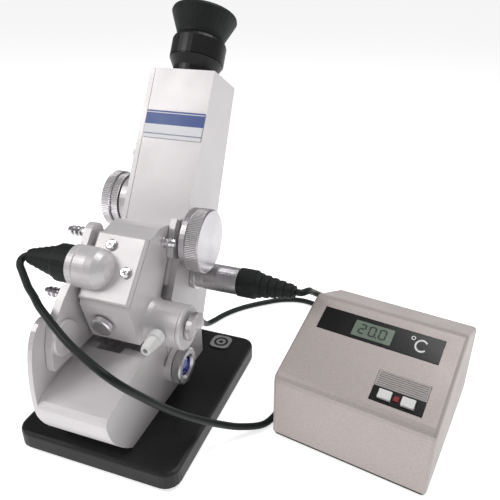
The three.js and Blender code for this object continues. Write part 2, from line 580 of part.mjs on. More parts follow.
// ---- scale lighting window on the stand's right side, and the socket at its back ----
function makeWindow() {
  const at = (x) => [x, WINDOW.y, WINDOW.z];
  const r = WINDOW.radius;
  const bore = 6;
  const f = WINDOW.face;
  const bezel = [
    [bore, 25.6], [9.8, 25.6], [9.8, 26.5], [r, 26.5], [r, f - 0.7], [r - 0.7, f], [7.6, f], [bore, f - 1.3],
    [bore, 25.6],
  ];
  add(instrument, "window_ring", turned(bezel, at(0), [1, 0, 0], 44), brightMetal());
  const lens = [[0, 27.5], [5.6, 27.5], [5.6, 29], [3.6, 30], [0, 30.5]];
  add(instrument, "window_lens", turned(lens, at(0), [1, 0, 0], 28), blueGlass());
  const e = SOCKET.length;
  const socket = [[0, 0], [2.8, 0], [2.8, 5.7], [5, 5.8], [5, e - 0.6], [4.4, e], [0, e]];
  const socketAt = [SOCKET.x, STAND.rear - 5.5, SOCKET.z];
  add(instrument, "rear_connector", turned(socket, socketAt, [0, 1, 0], 24), blackPlastic());
}

// ---- thermometer ----
const slopeAlong = new THREE.Vector2(METER.ridgeAt, METER.ridge - METER.front).normalize();
const slopeOut = [-slopeAlong.y, slopeAlong.x];

function panel(x0, x1, s0, s1, w0, w1) {
  return slab(x0, x1, s0, s1, w0, w1, [0, METER.front], slopeAlong.toArray(), slopeOut);
}

function meterOutline(low) {
  const corners = [[METER.depth, METER.back], [METER.ridgeAt, METER.ridge], [0, METER.front]];
  return [[0, low], [METER.depth, low], ...soften([[0, low], [METER.depth, low], ...corners], 4, 3).slice(8)];
}

function makeMeter() {
  const bevel = 1.8;
  const shell = new THREE.ExtrudeGeometry(shapeOf(meterOutline(SHELL_FROM - bevel)), {
    depth: METER.width - 2 * bevel, bevelThickness: bevel, bevelSize: bevel, bevelOffset: -bevel, bevelSegments: 2,
  });
  shell.applyMatrix4(new THREE.Matrix4().makeBasis(Y, Z, X).setPosition(bevel, 0, 0));
  const w = METER.wall;
  const ends = [[METER.depth, METER.back], [METER.ridgeAt, METER.ridge], [0, METER.front]];
  const core = inset([[0, -30], [METER.depth, -30], ...ends], w);
  const cuts = [
    sweepX(core, w, METER.width - w),
    box(-10, 110, -10, 110, -40, SHELL_FROM),
    panel(9.3, 81.3, 39.3, 55.7, -1.2, 5),
    panel(53.4, 82, 6.7, 25.7, -1.2, 5),
    panel(57.2, 64.8, 8.7, 14.3, -5, 5),
    panel(69.7, 77.3, 8.7, 14.3, -5, 5),
  ];
  for (const x of JACKS) cuts.push(round(3.3, 8, [x, METER.depth - 5, JACK_Z], [0, 1, 0], 20, 0.1));
  add(meter, "meter_case", combine(shell, [], cuts), caseGrey());
  const plate = roundedRectangle(0.8, METER.width - 0.8, 0.8, METER.depth - 0.8, 2, 2);
  const feet = [];
  for (const x of [12, METER.width - 12]) {
    for (const y of [12, METER.depth - 12]) feet.push(round(6, PLATE.from + 0.6, [x, y, 0], [0, 0, 1], 16, 0.2));
  }
  add(meter, "meter_bottom", combine(sweepZ(plate, PLATE.from, PLATE.to), feet, []), blackPlastic());
  const window = combine(panel(9.6, 81, 39.6, 55.4, -0.9, 0.3), [], [panel(29.9, 53.7, 41.1, 52.6, -0.1, 3)]);
  add(meter, "meter_window", window, blackPlastic());
  add(meter, "meter_display", panel(30.2, 53.4, 41.4, 52.3, 0.2, 0.5), greenGlass());
  makeSwitches();
  const jack = [[0, 0], [3, 0], [3, 5.6], [5.2, 5.7], [5.2, 7.4], [4.8, 7.8], [0, 7.8]];
  const jacks = JACKS.map((x) => turned(jack, [x, METER.depth - 5, JACK_Z], [0, 1, 0], 16));
  const strip = box(JACKS[0] - 7, JACKS[2] + 7, METER.depth + GAP, METER.depth + 1.2, JACK_Z - 7, JACK_Z + 7);
  add(meter, "jack_strip", combine(strip, jacks, []), blackPlastic());
  const board = box(8, METER.width - 8, 10, METER.depth - 14, 12, 13.6);
  const posts = [];
  for (const x of [14, METER.width - 14]) {
    for (const y of [16, METER.depth - 20]) posts.push(round(2.4, 8.7, [x, y, PLATE.to + GAP], [0, 0, 1], 12, 0.2));
  }
  add(meter, "circuit_board", combine(board, posts, []), greenBoard());
}

function makeSwitches() {
  const strip = combine(panel(53.7, 81.7, 7, 15.5, -0.9, 0.3), [], [
    panel(57.2, 64.8, 8.7, 14.3, -5, 5), panel(69.7, 77.3, 8.7, 14.3, -5, 5), panel(65.4, 68.8, 9.7, 13.3, -0.3, 5),
  ]);
  add(meter, "switch_strip", strip, blackPlastic());
  const ribs = [];
  const count = 7;
  for (let i = 0; i < count; i++) {
    const s = 16.9 + i * 1.25;
    ribs.push(panel(54.4, 81.2, s, s + 0.6, 0.2, 0.8));
  }
  add(meter, "ribbed_panel", combine(panel(53.7, 81.7, 15.9, 25.4, -0.9, 0.3), ribs, []), caseGrey());
  [[57.5, 64.5], [70, 77]].forEach(([x0, x1], i) => {
    const button = combine(panel(x0, x1, 9, 14, -2.8, 2), [panel(x0 - 0.9, x1 + 0.9, 8.1, 14.9, -4.6, -2.7)], []);
    add(meter, `push_button_${i + 1}`, button, whitePlastic());
  });
  add(meter, "indicator_lamp", panel(65.7, 68.5, 10, 13, 0, 1), redPlastic());
}

// ---- cords: plain tubes along points chosen by hand, from `instrument` or `meter` places ----
function fromInstrument(x, y, z) {
  return [x + INSTRUMENT_AT[0], y + INSTRUMENT_AT[1], z + INSTRUMENT_AT[2]];
}

function fromMeter(x, y, z) {
  const p = new THREE.Vector3(x, y, z).applyAxisAngle(Z, THREE.MathUtils.degToRad(METER_YAW));
  return [p.x + METER_AT[0], p.y + METER_AT[1], p.z + METER_AT[2]];
}

function addCord(name, points) {
  const path = new THREE.CatmullRomCurve3(points.map((p) => new THREE.Vector3(...p)), false, "centripetal");
  const sides = 8;
  const circle = [];
  for (let i = 0; i < sides; i++) {
    const a = (2 * Math.PI * i) / sides;
    circle.push([(CORD / 2) * Math.cos(a), (CORD / 2) * Math.sin(a)]);
  }
  const steps = Math.min(78, Math.round(path.getLength() / (2.6 * CORD)));
  const options = { steps, bevelEnabled: false, extrudePath: path };
  const geometry = new THREE.ExtrudeGeometry(shapeOf(circle), options);
  add(group, name, geometry, blackRubber());
}

function makeCords() {
  const tail = BOSS.outer - GAP - LEFT_PLUG.length - GAP;
  addCord("front_cord", [
    fromInstrument(tail, BOSS.y, BOSS.z), fromInstrument(tail - 2.3, BOSS.y - 0.3, BOSS.z - 0.2),
    fromInstrument(-53.5, -30.4, 107), fromInstrument(-52.6, -33.1, 105.2), fromInstrument(-49.6, -35.6, 103.4),
    fromInstrument(-44.5, -39.7, 101.2), fromInstrument(-39, -44, 99.1), fromInstrument(-32.3, -48.4, 97.9),
    fromInstrument(-25, -53.8, 96.6), fromInstrument(-17.6, -58, 95), fromInstrument(-10, -62, 93),
    fromInstrument(0.8, -67, 89.8), fromInstrument(13, -71, 86), fromInstrument(25, -73.5, 81.6),
    fromInstrument(31.5, -71, 74.8), fromInstrument(36.5, -63.5, 63.6), fromInstrument(41, -54, 50.6),
    fromInstrument(46.5, -44, 38), fromInstrument(53, -33, 26), fromInstrument(60.5, -22, 15),
    fromInstrument(69.5, -12, 7), fromInstrument(80, -1, 2.6), fromMeter(-4.6, 16, 2.3), fromMeter(-4.6, 50, 2.3),
    fromMeter(-4.4, 90, 3), fromMeter(-2, 112, 8), fromMeter(5, 122, 14), fromMeter(11, 121, 18.6),
    fromMeter(JACKS[0], 112, JACK_Z), fromMeter(JACKS[0], 106, JACK_Z), fromMeter(JACKS[0], JACK_END, JACK_Z),
  ]);
  const right = PROBE.end + GAP + RIGHT_PLUG.length + GAP;
  addCord("right_cord", [
    fromInstrument(right, PROBE.y, PROBE.z), fromInstrument(right + 3, PROBE.y, PROBE.z),
    fromInstrument(right + 6, 40, 77), fromMeter(-4.4, 58, 69), fromMeter(-4, 72, 59), fromMeter(-3.8, 90, 46),
    fromMeter(0, 110, 32), fromMeter(10, 123, 24), fromMeter(21, 126, 20.8), fromMeter(27, 119, JACK_Z),
    fromMeter(JACKS[1], 110, JACK_Z), fromMeter(JACKS[1], JACK_END, JACK_Z),
  ]);
  addCord("rear_cord", [
    fromInstrument(SOCKET.x, STAND.rear + 4.8, SOCKET.z), fromInstrument(SOCKET.x, 50, SOCKET.z),
    fromInstrument(7.5, 62, 23),
    fromInstrument(6, 72, 14), fromInstrument(5, 82, 5), fromInstrument(7, 91, 2.6), fromInstrument(12, 103, 2.3),
    fromInstrument(21, 116, 2.3), fromInstrument(37, 131, 2.3), fromInstrument(50, 140, 2.3),
    fromInstrument(66, 144, 2.3), fromMeter(-9, 139, 2.3), fromMeter(14, 139, 3), fromMeter(34, 137, 8),
    fromMeter(43, 128, 16), fromMeter(JACKS[2], 118, JACK_Z), fromMeter(JACKS[2], 110, JACK_Z),
    fromMeter(JACKS[2], JACK_END, JACK_Z),
  ]);
}

makeBase();
makeStand();
makeHousing();
makeLabel();
makeEyepiece();
makeOptics();
makeMeasuring();
makeCompensator();
makePrismMount();
makePrismBox();
makeArm();
makePlugs();
makeWindow();
makeMeter();
makeCords();

export default group;
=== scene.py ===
import math

import bpy
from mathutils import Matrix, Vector


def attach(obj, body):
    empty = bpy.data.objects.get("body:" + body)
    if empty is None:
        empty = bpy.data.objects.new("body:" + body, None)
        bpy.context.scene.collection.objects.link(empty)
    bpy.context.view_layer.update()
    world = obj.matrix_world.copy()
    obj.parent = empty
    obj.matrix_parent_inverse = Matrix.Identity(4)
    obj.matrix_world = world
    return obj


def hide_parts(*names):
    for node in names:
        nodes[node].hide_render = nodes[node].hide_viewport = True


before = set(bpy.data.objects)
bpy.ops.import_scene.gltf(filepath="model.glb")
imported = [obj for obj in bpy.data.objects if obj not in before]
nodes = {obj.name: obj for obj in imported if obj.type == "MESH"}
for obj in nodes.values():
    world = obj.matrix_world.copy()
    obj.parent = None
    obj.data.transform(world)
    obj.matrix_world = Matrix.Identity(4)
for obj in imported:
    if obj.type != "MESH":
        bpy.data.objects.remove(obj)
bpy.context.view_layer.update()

# ---- frame of the two units, metres ----
INSTRUMENT_AT = Vector((-0.07147, -0.02592, 0.0))
METER_AT = Vector((0.01483, -0.03092, 0.0))
METER_YAW = math.radians(-10.3)
MM = 0.001


def inst(x, y, z):
    """Point of the instrument's own frame, given in millimetres."""
    return Vector((x, y, z)) * MM + INSTRUMENT_AT


def met(x, y, z):
    """Point of the thermometer's own frame, given in millimetres."""
    c, s = math.cos(METER_YAW), math.sin(METER_YAW)
    return Vector((x * c - y * s, x * s + y * c, z)) * MM + METER_AT


SLOPE = Vector((58.5, 24.0)).normalized()


def panel(x, s, w):
    """Point on the thermometer's sloping panel: across, up the slope, out of it."""
    return met(x, SLOPE.x * s - SLOPE.y * w, 45 + SLOPE.y * s + SLOPE.x * w)


# ---- camera ----
def make_camera():
    data = bpy.data.cameras.new("camera")
    data.sensor_width = 36.0
    data.lens = 39.64
    data.clip_start = 0.01
    camera = bpy.data.objects.new("camera", data)
    camera.location = inst(158, -240.8, 250)
    camera.rotation_euler = (math.radians(63.06), 0, math.radians(19.98))
    bpy.context.scene.collection.objects.link(camera)
    bpy.context.scene.camera = camera


# ---- shader helpers ----
def new_material(name):
    m = bpy.data.materials.new(name)
    m.use_nodes = True
    return m, m.node_tree, m.node_tree.nodes["Principled BSDF"]


def coords(tree):
    return tree.nodes.new("ShaderNodeTexCoord").outputs["Object"]


def noise(tree, scale, detail=3.0, vector=None):
    n = tree.nodes.new("ShaderNodeTexNoise")
    n.inputs["Scale"].default_value = scale
    n.inputs["Detail"].default_value = detail
    tree.links.new(vector or coords(tree), n.inputs["Vector"])
    return n.outputs["Fac"]


def ramp(tree, fac, stops):
    r = tree.nodes.new("ShaderNodeValToRGB")
    r.color_ramp.elements[0].position = stops[0][0]
    r.color_ramp.elements[0].color = (*stops[0][1], 1)
    r.color_ramp.elements[1].position = stops[-1][0]
    r.color_ramp.elements[1].color = (*stops[-1][1], 1)
    for place, colour in stops[1:-1]:
        r.color_ramp.elements.new(place).color = (*colour, 1)
    tree.links.new(fac, r.inputs["Fac"])
    return r.outputs["Color"]


def spread(tree, fac, low, high):
    r = tree.nodes.new("ShaderNodeMapRange")
    r.inputs["From Min"].default_value = 0.3
    r.inputs["From Max"].default_value = 0.7
    r.inputs["To Min"].default_value = low
    r.inputs["To Max"].default_value = high
    tree.links.new(fac, r.inputs["Value"])
    return r.outputs["Result"]


def math_node(tree, kind, a, b=None):
    n = tree.nodes.new("ShaderNodeMath")
    n.operation = kind
    for i, v in enumerate((a, b)):
        if v is None:
            continue
        if isinstance(v, (int, float)):
            n.inputs[i].default_value = v
        else:
            tree.links.new(v, n.inputs[i])
    return n.outputs[0]


def bump(tree, bsdf, height, strength, distance, normal=None):
    b = tree.nodes.new("ShaderNodeBump")
    b.inputs["Strength"].default_value = strength
    b.inputs["Distance"].default_value = distance
    tree.links.new(height, b.inputs["Height"])
    if normal is not None:
        tree.links.new(normal, b.inputs["Normal"])
    if bsdf is not None:
        tree.links.new(b.outputs["Normal"], bsdf.inputs["Normal"])
    return b.outputs["Normal"]


def grained(name, light, dark, grain, rough, metal, relief, coat=0.0, shine=0.5):
    """Paint, plastic or rubber: two tones of fine grain, patchy roughness, fine relief."""
    m, tree, bsdf = new_material(name)
    fine = noise(tree, grain, 2.0)
    tree.links.new(ramp(tree, fine, [(0.36, dark), (0.64, light)]), bsdf.inputs["Base Color"])
    tree.links.new(spread(tree, noise(tree, 45.0), rough[0], rough[1]), bsdf.inputs["Roughness"])
    bsdf.inputs["Metallic"].default_value = metal
    bsdf.inputs["Coat Weight"].default_value = coat
    bsdf.inputs["Coat Roughness"].default_value = 0.12
    bsdf.inputs["Specular IOR Level"].default_value = shine
    bump(tree, bsdf, fine, relief, 0.0001)
    return m


def axis_parts(tree, centre):
    """Angle and distance round an X axis through centre (y, z), in object space."""
    split = tree.nodes.new("ShaderNodeSeparateXYZ")
    tree.links.new(coords(tree), split.inputs[0])
    y = math_node(tree, "SUBTRACT", split.outputs["Y"], centre[0])
    z = math_node(tree, "SUBTRACT", split.outputs["Z"], centre[1])
    squares = math_node(tree, "ADD", math_node(tree, "POWER", y, 2), math_node(tree, "POWER", z, 2))
    far = math_node(tree, "SQRT", squares)
    return math_node(tree, "ARCTAN2", z, y), far, split.outputs["X"]


def turned_metal(name, centre, band=None, ridges=120, colour=(0.62, 0.60, 0.62), rough=0.32):
    """Turned aluminium about an X axis: fine rings on its faces, knurls on the band x0..x1."""
    m, tree, bsdf = new_material(name)
    angle, far, x = axis_parts(tree, centre)
    combine = tree.nodes.new("ShaderNodeCombineXYZ")
    tree.links.new(far, combine.inputs[0])
    tree.links.new(x, combine.inputs[1])
    rings = noise(tree, 2600.0, 1.0, combine.outputs[0])
    tone = ramp(tree, noise(tree, 60.0), [(0.3, tuple(0.9 * c for c in colour)), (0.7, colour)])
    tree.links.new(tone, bsdf.inputs["Base Color"])
    tree.links.new(spread(tree, rings, rough - 0.05, rough + 0.1), bsdf.inputs["Roughness"])
    bsdf.inputs["Metallic"].default_value = 1.0
    bsdf.inputs["Anisotropic"].default_value = 0.6
    tangent = tree.nodes.new("ShaderNodeTangent")
    tangent.direction_type = "RADIAL"
    tangent.axis = "X"
    tree.links.new(tangent.outputs[0], bsdf.inputs["Tangent"])
    normal = bump(tree, None, rings, 0.12, 0.00005)
    if band:
        wave = math_node(tree, "SINE", math_node(tree, "MULTIPLY", angle, float(ridges)))
        after, before = math_node(tree, "GREATER_THAN", x, band[0]), math_node(tree, "LESS_THAN", x, band[1])
        inside = math_node(tree, "MULTIPLY", after, before)
        edge = math_node(tree, "GREATER_THAN", far, band[2])
        height = math_node(tree, "MULTIPLY", wave, math_node(tree, "MULTIPLY", inside, edge))
        normal = bump(tree, None, height, 0.8, 0.0003, normal)
    tree.links.new(normal, bsdf.inputs["Normal"])
    return m


def polished(name, colour, rough):
    m, tree, bsdf = new_material(name)
    tone = ramp(tree, noise(tree, 80.0), [(0.3, tuple(0.93 * c for c in colour)), (0.7, colour)])
    tree.links.new(tone, bsdf.inputs["Base Color"])
    tree.links.new(spread(tree, noise(tree, 300.0), rough, rough + 0.08), bsdf.inputs["Roughness"])
    bsdf.inputs["Metallic"].default_value = 1.0
    bump(tree, bsdf, noise(tree, 900.0), 0.03, 0.0001)
    return m


def glass(name, colour, rough=0.03, through=1.0, tint=0.0):
    m, tree, bsdf = new_material(name)
    bsdf.inputs["Base Color"].default_value = (*colour, 1)
    tree.links.new(spread(tree, noise(tree, 120.0), rough, rough + 0.03), bsdf.inputs["Roughness"])
    bsdf.inputs["Transmission Weight"].default_value = through
    bsdf.inputs["IOR"].default_value = 1.5
    bsdf.inputs["Coat Weight"].default_value = 0.5
    bsdf.inputs["Coat Tint"].default_value = (0.7 + tint, 0.75, 1.0, 1)
    return m


def label_material():
    """Printed plate: a blue band with a thin pale line, over a white field with a grey rule."""
    m, tree, bsdf = new_material("printed_plate")
    split = tree.nodes.new("ShaderNodeSeparateXYZ")
    tree.links.new(coords(tree), split.inputs[0])
    place = tree.nodes.new("ShaderNodeMapRange")
    place.inputs["From Min"].default_value = 0.1591
    place.inputs["From Max"].default_value = 0.1739
    tree.links.new(split.outputs["Z"], place.inputs["Value"])
    white, blue, rule = (0.80, 0.81, 0.85), (0.035, 0.085, 0.30), (0.25, 0.28, 0.36)
    r = tree.nodes.new("ShaderNodeValToRGB")
    r.color_ramp.interpolation = "CONSTANT"
    elements = r.color_ramp.elements
    elements[0].color = (*white, 1)
    elements[1].position = 0.5
    elements[1].color = (*blue, 1)
    for at, c in ((0.14, rule), (0.18, white), (0.91, white), (0.935, blue)):
        elements.new(at).color = (*c, 1)
    tree.links.new(place.outputs["Result"], r.inputs["Fac"])
    tree.links.new(r.outputs["Color"], bsdf.inputs["Base Color"])
    tree.links.new(spread(tree, noise(tree, 90.0), 0.28, 0.4), bsdf.inputs["Roughness"])
    bump(tree, bsdf, noise(tree, 1500.0), 0.04, 0.0001)
    return m


def screen_material():
    m, tree, bsdf = new_material("display_green")
    tone = ramp(tree, noise(tree, 25.0), [(0.3, (0.17, 0.22, 0.17)), (0.7, (0.25, 0.31, 0.25))])
    tree.links.new(tone, bsdf.inputs["Base Color"])
    tree.links.new(spread(tree, noise(tree, 200.0), 0.1, 0.2), bsdf.inputs["Roughness"])
    bsdf.inputs["Coat Weight"].default_value = 0.6
    return m


def board_material():
    m, tree, bsdf = new_material("circuit_green")
    brick = tree.nodes.new("ShaderNodeTexBrick")
    brick.inputs["Scale"].default_value = 160.0
    brick.inputs["Color1"].default_value = (0.02, 0.12, 0.05, 1)
    brick.inputs["Color2"].default_value = (0.015, 0.09, 0.04, 1)
    brick.inputs["Mortar"].default_value = (0.12, 0.25, 0.1, 1)
    tree.links.new(coords(tree), brick.inputs["Vector"])
    tree.links.new(brick.outputs["Color"], bsdf.inputs["Base Color"])
    bsdf.inputs["Roughness"].default_value = 0.35
    return m


KNOB = (inst(0, 23.5, 108.3).y, inst(0, 23.5, 108.3).z)
DIAL = (inst(0, 43.95, 118).y, inst(0, 43.95, 118).z)
BARREL = (inst(0, -12.5, 71.2).y, inst(0, -12.5, 71.2).z)
PROBE = (inst(0, 33.3, 78.7).y, inst(0, 33.3, 78.7).z)
WINDOW = (inst(0, -3.3, 35.4).y, inst(0, -3.3, 35.4).z)
CAP = (inst(0, 57, 146).y, inst(0, 57, 146).z)


def in_x(x):
    return inst(x, 0, 0).x


def make_materials():
    silver = ((0.74, 0.715, 0.725), (0.66, 0.635, 0.645))
    warm = ((0.56, 0.50, 0.48), (0.42, 0.37, 0.355))
    mats = {
        "silver": grained("silver_paint", *silver, 3800.0, (0.36, 0.46), 0.3, 0.10, 0.1),
        "case": grained("speckled_case", *warm, 2600.0, (0.42, 0.52), 0.25, 0.14),
        "base": grained(
            "black_crinkle", (0.022, 0.022, 0.023), (0.010, 0.010, 0.011),
            1900.0, (0.34, 0.46), 0.0, 0.16, 0.0, 0.22,
        ),
        "rubber": grained(
            "black_rubber", (0.012, 0.016, 0.014), (0.006, 0.008, 0.007),
            1500.0, (0.5, 0.62), 0.0, 0.2, 0.0, 0.3,
        ),
        "cordskin": grained(
            "cord_rubber", (0.010, 0.017, 0.015), (0.006, 0.010, 0.009),
            2500.0, (0.4, 0.5), 0.0, 0.1, 0.0, 0.3,
        ),
        "plastic": grained(
            "black_plastic", (0.016, 0.016, 0.017), (0.009, 0.009, 0.010),
            2200.0, (0.32, 0.44), 0.0, 0.12, 0.0, 0.3,
        ),
        "gloss": grained(
            "black_gloss", (0.008, 0.008, 0.009), (0.006, 0.006, 0.007),
            800.0, (0.2, 0.3), 0.0, 0.02, 0.1, 0.3,
        ),
        "white": grained(
            "white_plastic", (0.82, 0.82, 0.81), (0.74, 0.74, 0.74), 1200.0, (0.3, 0.4), 0.0, 0.05,
        ),
        "red": grained(
            "red_plastic", (0.30, 0.015, 0.02), (0.18, 0.008, 0.012), 900.0, (0.25, 0.32), 0.0, 0.03, 0.3,
        ),
        "grey": grained(
            "ribbed_grey", (0.50, 0.47, 0.46), (0.42, 0.39, 0.385), 1800.0, (0.4, 0.5), 0.1, 0.1,
        ),
        "chrome": polished("chrome", (0.74, 0.73, 0.75), 0.2),
        "brass": polished("brass", (0.72, 0.55, 0.28), 0.2),
        "glass": glass("clear_glass", (0.92, 0.97, 0.97)),
        "blue": glass("blue_glass", (0.05, 0.08, 0.55), 0.05, 0.35, 0.1),
        "label": label_material(),
        "screen": screen_material(),
        "board": board_material(),
        "knob": turned_metal("knob_metal", KNOB, (in_x(29.5), in_x(37.0), 0.0176), 110),
        "compensator": turned_metal("dial_metal", DIAL, (in_x(-37.6), in_x(-27.0), 0.0162), 100),
        "probe": turned_metal("probe_metal", PROBE, None, 0, (0.72, 0.71, 0.72), 0.3),
        "window": turned_metal(
            "window_metal", WINDOW, (in_x(26.6), in_x(30.6), 0.0104), 80, (0.66, 0.65, 0.67), 0.28,
        ),
        "lock": turned_metal("lock_metal", BARREL, None, 0, (0.64, 0.62, 0.64), 0.34),
        "cap": turned_metal("cap_metal", CAP, None, 0, (0.62, 0.61, 0.63), 0.3),
        # near-black for the display digits and badge print, also used for the painted shade of the screw
        # recesses
        "ink_and_shade": grained(
            "dark_ink_and_shade", (0.010, 0.011, 0.010), (0.006, 0.007, 0.006), 900.0, (0.3, 0.4), 0.0, 0.02,
        ),
    }
    return mats


FINISH = {
    "base_plate": "base",
    "base_badge": "chrome",
    "label_plate": "label",
    "eyepiece_mount": "plastic",
    "focus_ring": "plastic",
    "eyecup": "rubber",
    "lens_barrel": "base",
    "measurement_knob": "knob",
    "measurement_shaft": "chrome",
    "scale_sector": "brass",
    "compensator_dial": "compensator",
    "compensator_knob": "compensator",
    "compensator_shaft": "chrome",
    "adjusting_cap": "cap",
    "upper_right_nipple": "chrome",
    "cover_screw_1": "chrome",
    "cover_screw_2": "chrome",
    "aperture_cap": "chrome",
    "lock_handle": "lock",
    "front_nipple": "white",
    "hinge_pin": "chrome",
    "arm_screw": "chrome",
    "upper_left_nipple": "chrome",
    "lower_left_nipple": "chrome",
    "probe_tube": "probe",
    "left_plug": "rubber",
    "right_plug": "rubber",
    "window_ring": "window",
    "window_lens": "blue",
    "rear_connector": "plastic",
    "meter_case": "case",
    "meter_bottom": "plastic",
    "meter_window": "gloss",
    "meter_display": "screen",
    "switch_strip": "gloss",
    "ribbed_panel": "grey",
    "push_button_1": "white",
    "push_button_2": "white",
    "indicator_lamp": "red",
    "jack_strip": "plastic",
    "circuit_board": "board",
    "stand_casting": "silver",
    "tube_housing": "silver",
    "tube_left_cover": "silver",
    "prism_mount": "silver",
    "prism_box": "silver",
    "prism_cover": "silver",
    "lamp_arm": "silver",
}
GLASSES = (
    "eye_lens",
    "objective_lens",
    "lower_amici_prism",
    "upper_amici_prism",
    "crosshair_glass",
    "glass_scale",
    "main_prism",
    "secondary_prism",
)
EASED = {
    "stand_casting": 0.9,
    "tube_housing": 0.5,
    "tube_left_cover": 0.5,
    "prism_box": 0.5,
    "prism_cover": 0.3,
    "prism_mount": 0.4,
    "lamp_arm": 0.5,
    "lock_handle": 0.4,
    "meter_case": 0.25,
    "meter_window": 0.15,
    "push_button_1": 0.3,
    "push_button_2": 0.3,
    "switch_strip": 0.15,
    "indicator_lamp": 0.2,
    "jack_strip": 0.3,
    "base_badge": 0.3,
}


def smoothing_group():
    """Geometry nodes that shade smooth across edges flatter than a limit."""
    g = bpy.data.node_groups.new("smooth_flat_edges", "GeometryNodeTree")
    g.interface.new_socket("Geometry", in_out="INPUT", socket_type="NodeSocketGeometry")
    g.interface.new_socket("Geometry", in_out="OUTPUT", socket_type="NodeSocketGeometry")
    start = g.nodes.new("NodeGroupInput")
    end = g.nodes.new("NodeGroupOutput")
    faces = g.nodes.new("GeometryNodeSetShadeSmooth")
    faces.domain = "FACE"
    edges = g.nodes.new("GeometryNodeSetShadeSmooth")
    edges.domain = "EDGE"
    angle = g.nodes.new("GeometryNodeInputMeshEdgeAngle")
    flat = g.nodes.new("FunctionNodeCompare")
    flat.data_type = "FLOAT"
    flat.operation = "LESS_THAN"
    flat.inputs["B"].default_value = math.radians(32)
    g.links.new(angle.outputs["Unsigned Angle"], flat.inputs["A"])
    g.links.new(start.outputs[0], faces.inputs["Geometry"])
    g.links.new(faces.outputs[0], edges.inputs["Geometry"])
    g.links.new(flat.outputs[0], edges.inputs["Shade Smooth"])
    g.links.new(edges.outputs[0], end.inputs[0])
    return g


def finish_nodes(mats):
    group = smoothing_group()
    for name, obj in nodes.items():
        finish = "glass" if name in GLASSES else FINISH.get(name, "rubber")
        obj.data.materials.clear()
        obj.data.materials.append(mats[finish])
        if name in EASED:
            ease = obj.modifiers.new("eased_edges", "BEVEL")
            ease.width = EASED[name] * MM
            ease.segments = 2
            ease.limit_method = "ANGLE"
            ease.angle_limit = math.radians(38)
            ease.use_clamp_overlap = True
            ease.harden_normals = False
        smooth = obj.modifiers.new("smooth", "NODES")
        smooth.node_group = group


# ---- pieces drawn beside the CAD nodes ----
def mesh_object(name, vertices, faces, material, body, smooth=False):
    mesh = bpy.data.meshes.new(name)
    mesh.from_pydata([tuple(v) for v in vertices], [], faces)
    mesh.update()
    if smooth:
        for f in mesh.polygons:
            f.use_smooth = True
    mesh.materials.append(material)
    obj = bpy.data.objects.new(name, mesh)
    bpy.context.scene.collection.objects.link(obj)
    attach(obj, body)
    return obj


def boxes(name, cells, place, material, body):
    """One mesh of boxes. Each cell is (a0, a1, b0, b1, c0, c1), put in place by place(a, b, c)."""
    vertices, faces = [], []
    for a0, a1, b0, b1, c0, c1 in cells:
        n = len(vertices)
        for c in (c0, c1):
            for a, b in ((a0, b0), (a1, b0), (a1, b1), (a0, b1)):
                vertices.append(place(a, b, c))
        for f in ((3, 2, 1, 0), (4, 5, 6, 7), (0, 1, 5, 4), (1, 2, 6, 5), (2, 3, 7, 6), (3, 0, 4, 7)):
            faces.append(tuple(n + i for i in f))
    return mesh_object(name, vertices, faces, material, body)


SEGMENTS = {"0": "abcdef", "2": "abged"}


def seven(digit, x, s, w, h, t):
    """Cells of one seven-segment digit, lower left corner at x, s."""
    places = {
        "a": (x + t, x + w - t, s + h - t, s + h),
        "d": (x + t, x + w - t, s, s + t),
        "g": (x + t, x + w - t, s + h / 2 - t / 2, s + h / 2 + t / 2),
        "f": (x, x + t, s + h / 2 + t / 4, s + h - t / 2),
        "b": (x + w - t, x + w, s + h / 2 + t / 4, s + h - t / 2),
        "e": (x, x + t, s + t / 2, s + h / 2 - t / 4),
        "c": (x + w - t, x + w, s + t / 2, s + h / 2 - t / 4),
    }
    return [(*places[k], 0.52, 0.56) for k in SEGMENTS[digit]]


def make_display(mats):
    cells = []
    for i, digit in enumerate("200"):
        cells += seven(digit, 33.2 + i * 6.1, 43.4, 4.4, 7.2, 0.95)
    cells.append((43.9, 44.8, 43.2, 44.2, 0.52, 0.56))
    boxes("display_digits", cells, panel, mats["ink_and_shade"], "frame")
    vertices, faces = [], []

    def ring_arc(x, s, r, thick, start, end, steps):
        n = len(vertices)
        for i in range(steps + 1):
            a = math.radians(start + (end - start) * i / steps)
            for radius in (r - thick, r):
                vertices.append(panel(x + radius * math.cos(a), s + radius * math.sin(a) * 1.15, 0.34))
        for i in range(steps):
            faces.append((n + 2 * i, n + 2 * i + 1, n + 2 * i + 3, n + 2 * i + 2))

    ring_arc(64.2, 51.4, 1.25, 0.5, 0, 360, 20)
    ring_arc(69.6, 47.6, 3.7, 0.95, 38, 322, 28)
    mesh_object("unit_sign", vertices, faces, mats["white"], "frame")


